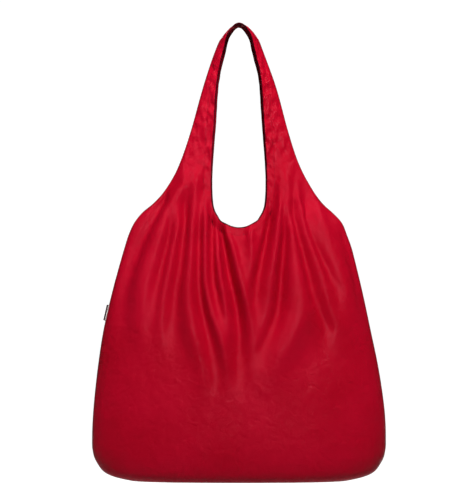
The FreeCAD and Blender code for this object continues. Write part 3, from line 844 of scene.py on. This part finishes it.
class TOTE_OT_seams(ToteOperator, bpy.types.Operator):
    """Bound seam allowances inside the bag and under the crown"""

    bl_idname = "tote.seams"
    bl_label = "Seams"

    def execute(self, context):
        front = built["front"]
        back_loop = smooth_line(built["back"].loop, 200)
        width = self.sizes.seam_width / MM
        for side, name in ((-1, "left"), (1, "right")):
            line = smooth_line(front.edges[side][::10], 260)[4:-6]
            ribs = []
            for x, h in line:
                opening = np.interp(h, back_loop[:, 1], back_loop[:, 0]) if h > MOUTH_CORNER[1] else 0
                reach = min(width, (x - opening) * 0.4)
                ribs.append([Vector((side * (x - d), 0.25 * math.sin(h * 0.4) * d / width, h))
                             for d in np.linspace(0.7, 0.7 + reach, 4)])
            # Dark cord down each outer edge: partly the side seam, partly painted shade where the cloth
            # curves away.
            edge = [Vector((side * (x - 0.4), 0, h)) for x, h in line[::2] if h > 5]
            seam_and_shade_cord = tube(name + "_side_edge_seam_and_shade", edge, self.sizes.edge_radius / MM)
            bind(seam_and_shade_cord)
            cross_fold(seam_and_shade_cord)
            seam = ribbon(name + "_side_seam", ribs, 0.0009)
            bind(seam)
            cross_fold(seam)
            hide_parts("side_seam_" + name)
            if side < 0:
                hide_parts("shoulder_seams", "strap_seam")
        self.straight_seams(width)
        return {"FINISHED"}

    def straight_seams(self, width):
        """Seams along the base, across its two boxed corners and across the crown."""
        reach = LEFT_EDGE[0][0] - 4
        ribs = [[Vector((x, 0.3 * math.sin(x * 0.3) * d / width, base_height(x) + 0.9 + d))
                 for d in np.linspace(0, width, 4)] for x in np.linspace(-reach, reach, 120)]
        base = ribbon("base_seam_bound", ribs, 0.0009)
        bind(base)
        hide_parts("base_seam")
        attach(base, "bag")
        for sign, name in ((-1, "left"), (1, "right")):
            ribs = [[Vector((sign * (reach - 12 - d), y, base_height(reach - 12 - d) + 1.1 + 0.6 * d))
                     for d in np.linspace(0, width, 4)] for y in np.linspace(-18, 18, 30)]
            corner = ribbon("corner_seam_bound_" + name, ribs, 0.0009)
            bind(corner)
            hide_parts("corner_seam_" + name)
            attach(corner, "bag")
        top = (TOP_Z - BASE_Z) / MM
        ribs = [[Vector((x, y, top - 2.2 - abs(x) * 0.35 - 0.0012 * y * y)) for x in (-4, -2, 0, 2, 4)]
                for y in np.linspace(-21, 21, 30)]
        crown = ribbon("crown_seam_bound", ribs, 0.0008)
        bind(crown)
        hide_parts("crown_seam")
        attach(crown, "handle")


class TOTE_OT_label(ToteOperator, bpy.types.Operator):
    """Folded ribbon label in the left side seam"""

    bl_idname = "tote.label"
    bl_label = "Side label"

    def execute(self, context):
        colours = self.colours
        ribbon_cloth = label_finish(colours.label_edge, colours.label)
        leaf = self.leaf(self.sizes.label_reach / MM)
        ribs = [[self.on_seam(out, y + 0.25 * math.sin(s * 0.23) * ease(out, 0, 6), s) for out, y in leaf]
                for s in np.linspace(-LABEL_HALF, LABEL_HALF, 40)]
        label = ribbon("label_ribbon", ribs, 0.00028, span=len(leaf) - 1.0)
        put_on(label, ribbon_cloth)
        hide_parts("side_label")
        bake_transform(label)
        ribs = [[self.on_seam(out, 0.0, s) for out in (-2.4, -1.6, -0.8, 0.0)]
                for s in np.linspace(-LABEL_HALF, LABEL_HALF, 30)]
        stub = ribbon("label_stub", ribs, 0.0009)
        bind(stub)
        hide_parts("label_root")
        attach(stub, "bag")
        return {"FINISHED"}

    def leaf(self, reach):
        """Ribbon's section from one end round its fold to the other: (out from the seam, y)."""
        gap, fold = 0.30, 0.5
        side = [(out, gap + 0.45 * math.sin(math.pi * out / reach) ** 2)
                for out in np.linspace(0.0, reach - fold, 9)]
        turn = [(reach - fold + fold * math.sin(a), gap * math.cos(a))
                for a in np.linspace(0.3, math.pi - 0.3, 5)]
        return [(out, -y) for out, y in side] + [(out, -y) for out, y in turn] + [
            (out, y) for out, y in side[::-1]]

    def on_seam(self, out, y, along):
        """Point on the label's own axes, which lean with the side seam."""
        lean_x, lean_z = LABEL_AXIS
        x = LABEL_HINGE[0] - lean_z * out + lean_x * along
        height = LABEL_HINGE[1] + lean_x * out + lean_z * along
        return Vector((x, y, height))


class TOTE_OT_pouch(ToteOperator, bpy.types.Operator):
    """Stow pouch inside the bag, with its gathered mouth, seams, print and hanging tape"""

    bl_idname = "tote.pouch"
    bl_label = "Stow pouch"

    def execute(self, context):
        colours = self.colours
        shell = self.shell()
        put_on(shell, built["red"])
        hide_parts("pouch_front", "pouch_back")
        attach(shell, "pouch")
        collar = self.ring("pouch_collar", np.linspace(*COLLAR_RISE, 9), 1.25, 0.0004, 0.35)
        # The collar's dark red is painted shade inside the pouch's mouth.
        put_on(collar, built["lining"])
        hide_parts("pouch_hem")
        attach(collar, "pouch")
        band = self.ring("pouch_elastic_band", np.linspace(*ELASTIC_RISE, 7), 0.72, 0.0005, 0.5)
        elastic = cloth_finish("elastic_webbing", (0.30, 0.004, 0.016), (0.22, 0.002, 0.010),
                               (0.4, 0.03, 0.05), rough=(0.55, 0.7), threads=1100.0, depth=0.0003)
        put_on(band, elastic)
        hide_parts("pouch_elastic")
        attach(band, "pouch")
        self.seams()
        self.print_band(colours.label)
        self.tapes(elastic)
        return {"FINISHED"}

    def wall(self, rise, turn, inset=0.0):
        """Point of the pouch wall at a height above the pouch's base and a turn round it."""
        share = rise / POUCH_TALL
        wide = float(np.interp(share, *POUCH_WIDE)) * POUCH_HALF - inset
        deep = float(np.interp(share, *POUCH_DEEP)) * POUCH_DEPTH - inset
        gather = 0.75 * float(ease(share, 0.62, 0.97)) * math.sin(turn * 22 + 0.6 * math.sin(turn * 3))
        slack = 0.35 * math.sin(turn * 5 + share * 4) * math.sin(math.pi * min(max(share, 0), 1))
        deep -= 0.8 * float(ease(share, 0.55, 1.0))
        c, d = math.cos(turn), math.sin(turn)
        x = wide * math.copysign(abs(c) ** 0.85, c)
        y = (deep + (gather + slack - 0.5) * abs(d) ** 0.5) * math.copysign(abs(d) ** 0.85, d)
        return hang(POUCH_MIDDLE + x, y, POUCH_BASE + rise)

    def shell(self):
        """Whole wall of the pouch, closed along its base."""
        rises = list(np.linspace(0, 4, 4)) + list(np.linspace(6, POUCH_TALL, 44))
        points, uv, faces = [], [], []
        for rise in rises:
            for turn in POUCH_TURNS:
                points.append(self.wall(rise, turn))
                uv.append((POUCH_HALF * 2 * turn / math.pi, rise))
        for j in range(len(rises) - 1):
            faces += ring_faces(j * POUCH_AROUND, (j + 1) * POUCH_AROUND, POUCH_AROUND)
        for k in range(POUCH_AROUND // 2):
            faces.append((k, (POUCH_AROUND - k) % POUCH_AROUND, POUCH_AROUND - k - 1, k + 1))
        obj = object_from("pouch_shell", points, faces, np.array(uv))
        tidy_mesh(obj, 0.00002)
        fix_normals(obj)
        solidify(obj, 0.0004)
        return obj

    def ring(self, name, rises, inset, thickness, wave):
        """Closed band inside the mouth."""
        ribs = []
        for turn in POUCH_TURNS:
            ribs.append([self.wall(rise, turn, inset + 0.12 * wave * math.sin(turn * 44)) for rise in rises])
        return ribbon(name, ribs + ribs[:1], thickness)

    def seams(self):
        """Bound seam allowances down the inside of both sides."""
        for i, turn, sign, nodes in ((0, 0.0, -1, ("pouch_seam",)), (1, math.pi, 1, ())):
            ribs = []
            for rise in np.linspace(1.0, COLLAR_RISE[1], 60):
                edge = self.wall(rise, turn, 1.3)
                ribs.append([edge + hang_way(sign * d, 0.15 * math.sin(rise) * d) for d in (0, 1.2, 2.4)])
            part = ribbon("pouch_side_seam_%d" % i, ribs, 0.0009)
            bind(part)
            if nodes:
                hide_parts(*nodes)
            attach(part, "pouch")

    def print_band(self, colour):
        """Plain pale print across the front of the pouch."""
        ribs = []
        for turn in np.linspace(math.pi + 0.32, 2 * math.pi - 0.32, 70):
            ribs.append([self.wall(rise, turn, -0.26) for rise in np.linspace(*PRINT_RISE, 8)])
        obj = ribbon("pouch_print", ribs, 0.0001)
        white = cloth_finish("plain_print", colour, (0.62, 0.60, 0.58), (0.85, 0.84, 0.82),
                             rough=(0.45, 0.6), gloss=0.3)
        put_on(obj, white)
        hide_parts("pouch_band")
        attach(obj, "pouch")

    def tapes(self, webbing):
        """Tape that the pouch hangs on, with its rolled eye, and the tab in the side seam."""
        across, eye = np.linspace(-2.9, 2.9, 9), 0.7
        line = [(0.0, z) for z in np.linspace(-27.5, -1.6, 22)]
        line += [(-eye * math.sin(a), -eye * math.cos(a)) for a in np.linspace(0.4, 1.8 * math.pi, 14)]
        ribs = [[hang(x, y, z) for y in across] for x, z in line]
        tape = ribbon("pouch_tape", ribs, 0.0005)
        put_on(tape, webbing)
        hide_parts("pouch_tether")
        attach(tape, "pouch")
        low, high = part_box("tether_root")
        ribs = []
        for height in np.linspace(low[2], high[2], 10):
            share = (height - low[2]) / (high[2] - low[2])
            x = low[0] + 0.0004 + (high[0] - low[0] - 0.0008) * share
            ribs.append([Vector((x / MM, y, (height - BASE_Z) / MM)) for y in across])
        tab = ribbon("tape_tab", ribs, 0.0005)
        put_on(tab, webbing)
        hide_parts("tether_root")
        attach(tab, "bag")


class TOTE_OT_stage(ToteOperator, bpy.types.Operator):
    """Pale sweep, soft lights and the camera"""

    bl_idname = "tote.stage"
    bl_label = "Stage, lights and camera"

    def execute(self, context):
        self.sweep()
        self.lights()
        self.camera()
        return {"FINISHED"}

    def sweep(self):
        """Floor that curves up into a back wall."""
        bpy.ops.object.select_all(action="DESELECT")
        drop, bend = 0.30, 4
        bpy.ops.mesh.primitive_plane_add(size=1, location=(0, 0.5, BASE_Z - drop))
        floor = bpy.context.object
        floor.name = "sweep"
        floor.scale = (16, 9, 1)
        bpy.ops.object.transform_apply(location=True, rotation=True, scale=True)
        bpy.ops.object.mode_set(mode="EDIT")
        work = bmesh.from_edit_mesh(floor.data)
        for edge in work.edges:
            edge.select_set(all(v.co.y > bend for v in edge.verts))
        work.select_flush_mode()
        bmesh.update_edit_mesh(floor.data)
        bpy.ops.mesh.select_mode(type="EDGE")
        bpy.ops.mesh.extrude_region_move(TRANSFORM_OT_translate={"value": (0, 0, 6)})
        work = bmesh.from_edit_mesh(floor.data)
        for edge in work.edges:
            edge.select_set(all(v.co.y > bend and v.co.z < -0.5 for v in edge.verts))
        bmesh.update_edit_mesh(floor.data)
        bpy.ops.mesh.bevel(offset=1.6, segments=24, affect="EDGES")
        bpy.ops.object.mode_set(mode="OBJECT")
        bpy.ops.object.shade_smooth()
        paper = bpy.data.materials.new("sweep_paper")
        paper.use_nodes = True
        shader = paper.node_tree.nodes["Principled BSDF"]
        fill(shader, {"Base Color": (0.4, 0.4, 0.4, 1), "Roughness": 0.9, "Specular IOR Level": 0.1,
                      "Emission Color": (1, 1, 1, 1)})
        camera_only(paper.node_tree, shader.inputs["Emission Strength"], 0.0)
        floor.data.materials.append(paper)

    def lights(self):
        """Softboxes in front, which also show in the cloth's gloss, and two fills behind, which don't."""
        centre = Vector((0, 0, (TOP_Z + BASE_Z) / 2))
        for name, spot, size, power in (
            ("key_softbox", (0.12, -1.10, 1.20), 0.25, 34),
            ("back_softbox", (-0.5, 1.7, 1.1), 0.7, 34),
            ("low_softbox", (0.9, 1.3, -0.4), 0.6, 9),
            ("left_softbox", (-1.8, -0.9, 0.3), 0.6, 2),
            ("right_softbox", (1.8, -0.9, 0.5), 0.6, 2),
        ):
            data = bpy.data.lights.new(name, "AREA")
            data.size = size
            data.energy = power
            lamp = bpy.data.objects.new(name, data)
            bpy.context.scene.collection.objects.link(lamp)
            lamp.location = centre + Vector(spot)
            lamp.visible_glossy = spot[1] < 0
            lamp.rotation_euler = (centre - lamp.location).to_track_quat("-Z", "Y").to_euler()
        world = bpy.data.worlds.new("studio")
        bpy.context.scene.world = world
        world.use_nodes = True
        back = world.node_tree.nodes["Background"]
        back.inputs["Color"].default_value = (1, 1, 1, 1)
        camera_only(world.node_tree, back.inputs["Strength"], 0.04)
        bpy.context.scene.view_settings.view_transform = "Standard"

    def camera(self):
        """Level view from the front, a little left of the bag's middle."""
        data = bpy.data.cameras.new("camera")
        data.sensor_width = 36
        distance, frame_height, aside, rise = 2.8, 0.7875, -0.022, 0.362
        data.lens = data.sensor_width * distance / frame_height
        cam = bpy.data.objects.new("camera", data)
        bpy.context.scene.collection.objects.link(cam)
        cam.location = (aside, -distance, BASE_Z + rise)
        cam.rotation_euler = (math.radians(90), 0, 0)
        data.clip_end = 50
        bpy.context.scene.camera = cam


class TOTE_PT_sidebar(bpy.types.Panel):
    """The steps that build the tote, in order"""

    bl_idname = "TOTE_PT_sidebar"
    bl_label = "Foldable tote"
    bl_space_type = "VIEW_3D"
    bl_region_type = "UI"
    bl_category = "Tote"

    def draw(self, context):
        for step in STEPS:
            self.layout.operator(step.bl_idname)
        for group in (context.scene.tote_sizes, context.scene.tote_colours):
            for name in group.__annotations__:
                self.layout.prop(group, name)


STEPS = (TOTE_OT_cloth, TOTE_OT_edges, TOTE_OT_seams, TOTE_OT_label, TOTE_OT_pouch, TOTE_OT_stage)
CLASSES = (ToteSizes, ToteColours, *STEPS, TOTE_PT_sidebar)


def register():
    for cls in CLASSES:
        bpy.utils.register_class(cls)
    bpy.types.Scene.tote_sizes = bpy.props.PointerProperty(type=ToteSizes)
    bpy.types.Scene.tote_colours = bpy.props.PointerProperty(type=ToteColours)


def unregister():
    del bpy.types.Scene.tote_sizes
    del bpy.types.Scene.tote_colours
    for cls in reversed(CLASSES):
        bpy.utils.unregister_class(cls)


def main():
    """Build every piece."""
    register()
    bpy.ops.tote.cloth()
    bpy.ops.tote.edges()
    bpy.ops.tote.seams()
    bpy.ops.tote.label()
    bpy.ops.tote.pouch()
    bpy.ops.tote.stage()


if __name__ == "__main__":
    main()
